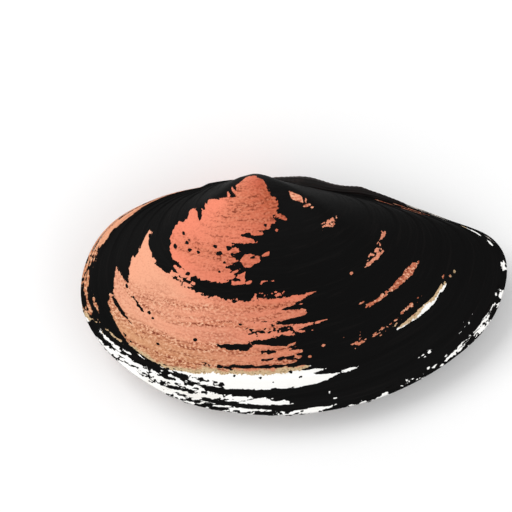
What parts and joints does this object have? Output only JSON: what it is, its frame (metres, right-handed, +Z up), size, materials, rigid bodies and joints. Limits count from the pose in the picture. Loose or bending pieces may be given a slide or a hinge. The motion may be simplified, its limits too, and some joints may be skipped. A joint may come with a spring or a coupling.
{
  "type": "clam shell",
  "caption": "Closed clam shell of two hollow valves held by a horny ligament, oval with a narrower siphon end, lying on its right valve.",
  "frame": {"origin": "on the surface that the shell lies on, under the middle of its box", "axes": "+X towards the narrower siphon end, +Y towards the hinge side, +Z up through the left valve"},
  "size_m": [0.0898, 0.0504, 0.0251],
  "materials": {
    "left_valve_shell": "limy shell, satin, salmon with fine growth lines, partly under a worn black skin",
    "right_valve_shell": "limy shell, satin, salmon with fine growth lines, partly under a worn black skin",
    "ligament_horn": "dark brown horn with fine cross lines, satin"
  },
  "bodies": {
    "root": {"left_valve": "left_valve_shell", "right_valve": "right_valve_shell", "ligament": "ligament_horn"}
  },
  "joints": []
}
